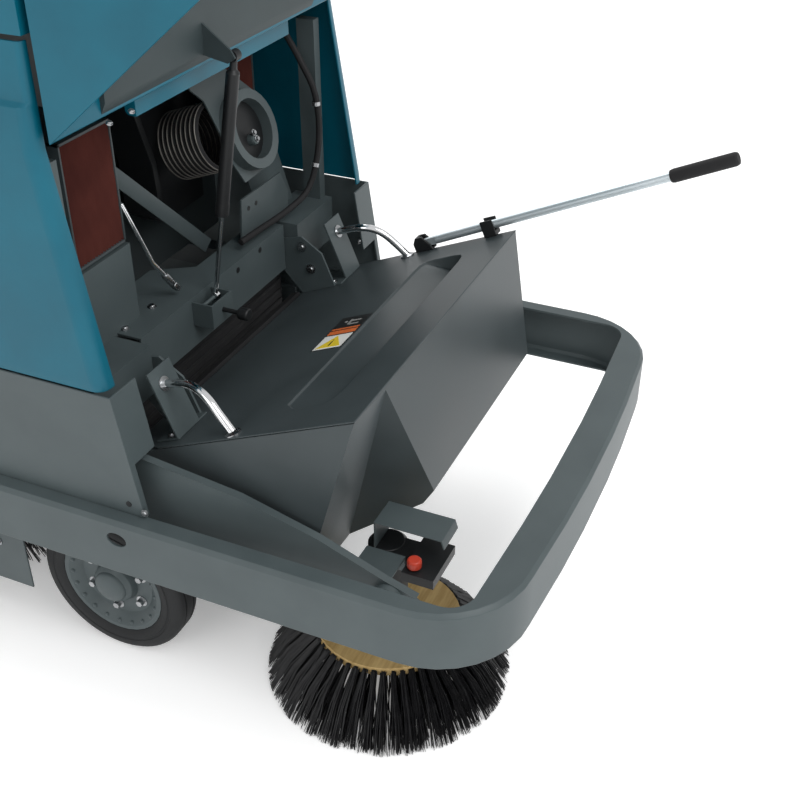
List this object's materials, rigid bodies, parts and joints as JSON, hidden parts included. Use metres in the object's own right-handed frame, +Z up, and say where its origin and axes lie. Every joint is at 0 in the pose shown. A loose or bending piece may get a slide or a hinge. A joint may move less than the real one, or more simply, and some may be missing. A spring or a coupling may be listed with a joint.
{
  "type": "ride on sweeper",
  "caption": "Ride-on floor sweeper with a tilting front hopper and lever, raised front hood, side brush inside a wrap-round bumper rail, cylindrical main brush and driver's seat.",
  "frame": {"origin": "on the floor under the middle of the machine's bounding box", "axes": "+Z up; -Y is the front of the machine, with the hopper and hood; -X is its right-hand side, with the side brush"},
  "size_m": [1.028, 2.1102, 1.4635],
  "materials": {
    "teal_plastic": "satin moulded body panels",
    "grey_paint": "semi-gloss powder coat",
    "dark_paint": "satin powder coat",
    "liner_plastic": "matt moulded liner",
    "black_plastic": "matt",
    "rubber": "matt",
    "tyre": "matt tread, polished shoulder",
    "bristle": "bunched bristle",
    "plywood": "bare board",
    "filter": "pleated",
    "chrome": "polished",
    "aluminium": "brushed",
    "steel": "bright",
    "red_plastic": "glossy knob",
    "seat_vinyl": "soft grained vinyl"
  },
  "bodies": {
    "root": {"air_hose": "rubber", "battery_box": "black_plastic", "brush_housing": "dark_paint", "brush_side_plate_left": "grey_paint", "brush_side_plate_right": "grey_paint", "bumper_rail": "grey_paint", "chassis_frame": "dark_paint", "cowl": "teal_plastic", "cowl_lip": "teal_plastic", "cross_beam": "grey_paint", "fan_housing": "black_plastic", "fan_inlet": "grey_paint", "filter_left": "filter", "filter_right": "filter", "flex_duct": "steel", "floor_pan": "dark_paint", "rear_bumper": "grey_paint", "shaker_rod": "chrome", "side_panel_left": "teal_plastic", "side_panel_right": "teal_plastic", "skirt_left": "grey_paint", "skirt_right": "grey_paint", "steering_column": "black_plastic", "strut_pocket": "grey_paint"},
    "hopper": {"hopper_tub": "dark_paint", "hopper_lid": "dark_paint", "hopper_bracket_left": "grey_paint", "hopper_bracket_right": "grey_paint", "grab_handle_left": "chrome", "grab_handle_right": "chrome", "hopper_seal": "rubber", "lever_knuckle": "black_plastic", "lever_clip": "black_plastic"},
    "lever": {"lever_tube": "aluminium", "lever_grip": "rubber"},
    "hood": {"hood_shell": "teal_plastic", "hood_liner": "liner_plastic"},
    "strut_rod": {"strut_rod": "chrome"},
    "strut_tube": {"strut_tube": "black_plastic"},
    "plunger": {"plunger_knob": "black_plastic"},
    "side_arm": {"side_brush_arm": "grey_paint", "side_brush_motor": "black_plastic", "side_brush_guard": "grey_paint"},
    "red_knob": {"red_knob": "red_plastic"},
    "side_brush": {"side_brush_disc": "plywood", "side_brush_bristles": "bristle"},
    "wheel_right": {"front_tyre_right": "tyre", "front_rim_right": "grey_paint"},
    "wheel_left": {"front_tyre_left": "tyre", "front_rim_left": "grey_paint"},
    "rear_fork": {"rear_fork": "dark_paint"},
    "rear_wheel": {"rear_tyre": "tyre", "rear_rim": "grey_paint"},
    "main_brush": {"main_brush": "bristle"},
    "seat": {"seat_slider": "steel", "seat_cushion": "seat_vinyl", "seat_back": "seat_vinyl"},
    "steering_wheel": {"steering_wheel": "black_plastic"},
    "drive_pedal": {"drive_pedal": "rubber"},
    "rear_cover": {"rear_cover": "teal_plastic"}
  },
  "joints": [
    {"name": "hopper_tilt", "type": "hinge", "parent": "root", "child": "hopper", "pos_m": [0, -0.13, 0.56], "axis": [1, 0, 0], "range_deg": [0, 22.8]},
    {"name": "lever_swing", "type": "hinge", "parent": "hopper", "child": "lever", "pos_m": [0.38, -0.44095, 0.58104], "axis": [1, 0, 0], "range_deg": [-30, 0]},
    {"name": "hood_hinge", "type": "hinge", "parent": "root", "child": "hood", "pos_m": [0, -0.203, 1.052], "axis": [1, 0, 0], "range_deg": [0, 121.6]},
    {"name": "strut_pivot", "type": "hinge", "parent": "root", "child": "strut_rod", "pos_m": [-0.05, -0.18, 0.605], "axis": [1, 0, 0], "range_deg": [-8.6, 0]},
    {"name": "strut_slide", "type": "slide", "parent": "strut_rod", "child": "strut_tube", "axis": [0, -0.1759, 0.9844], "range_m": [-0.0955, 0]},
    {"name": "plunger_pull", "type": "slide", "parent": "root", "child": "plunger", "axis": [0, -1, 0], "range_m": [0, 0.01], "stiffness_N_per_m": 200},
    {"name": "side_arm_lift", "type": "hinge", "parent": "root", "child": "side_arm", "pos_m": [-0.42, -0.2, 0.47], "axis": [1, 0, 0], "range_deg": [-5, 0]},
    {"name": "knob_turn", "type": "hinge", "parent": "side_arm", "child": "red_knob", "pos_m": [-0.313, -0.709, 0.32], "axis": [0, 0, 1], "range_deg": [-150, 150]},
    {"name": "side_brush_spin", "type": "hinge", "parent": "side_arm", "child": "side_brush", "pos_m": [-0.248, -0.63, 0.12], "axis": [0, 0, 1], "continuous": true},
    {"name": "wheel_right_spin", "type": "hinge", "parent": "root", "child": "wheel_right", "pos_m": [-0.391, -0.132, 0.155], "axis": [1, 0, 0], "continuous": true},
    {"name": "wheel_left_spin", "type": "hinge", "parent": "root", "child": "wheel_left", "pos_m": [0.391, -0.132, 0.155], "axis": [1, 0, 0], "continuous": true},
    {"name": "rear_steer", "type": "hinge", "parent": "root", "child": "rear_fork", "pos_m": [0, 0.76, 0.3], "axis": [0, 0, 1], "range_deg": [-60, 60]},
    {"name": "rear_wheel_spin", "type": "hinge", "parent": "rear_fork", "child": "rear_wheel", "pos_m": [0, 0.76, 0.155], "axis": [1, 0, 0], "continuous": true},
    {"name": "main_brush_spin", "type": "hinge", "parent": "root", "child": "main_brush", "pos_m": [0, 0.235, 0.16], "axis": [1, 0, 0], "continuous": true},
    {"name": "seat_slide", "type": "slide", "parent": "root", "child": "seat", "axis": [0, 1, 0], "range_m": [-0.07, 0.024]},
    {"name": "steering_wheel_turn", "type": "hinge", "parent": "root", "child": "steering_wheel", "pos_m": [0, 0.4, 1.21], "axis": [0, 0.2588, 0.9659], "range_deg": [-180, 180]},
    {"name": "pedal_tilt", "type": "hinge", "parent": "root", "child": "drive_pedal", "pos_m": [0.15, 0.3, 0.53], "axis": [1, 0, 0], "range_deg": [0, 12], "stiffness_Nm_per_rad": 8, "springref_deg": -8.59},
    {"name": "rear_cover_hinge", "type": "hinge", "parent": "root", "child": "rear_cover", "pos_m": [0, 0.985, 0.48], "axis": [1, 0, 0], "range_deg": [-70, 0]}
  ],
  "couplings": [
    {"joint": "strut_pivot", "follows": "hood_hinge", "ratio": -0.070263},
    {"joint": "strut_slide", "follows": "hood_hinge", "m_per_rad": -0.044438},
    {"joint": "steering_wheel_turn", "follows": "rear_steer", "ratio": -3}
  ]
}
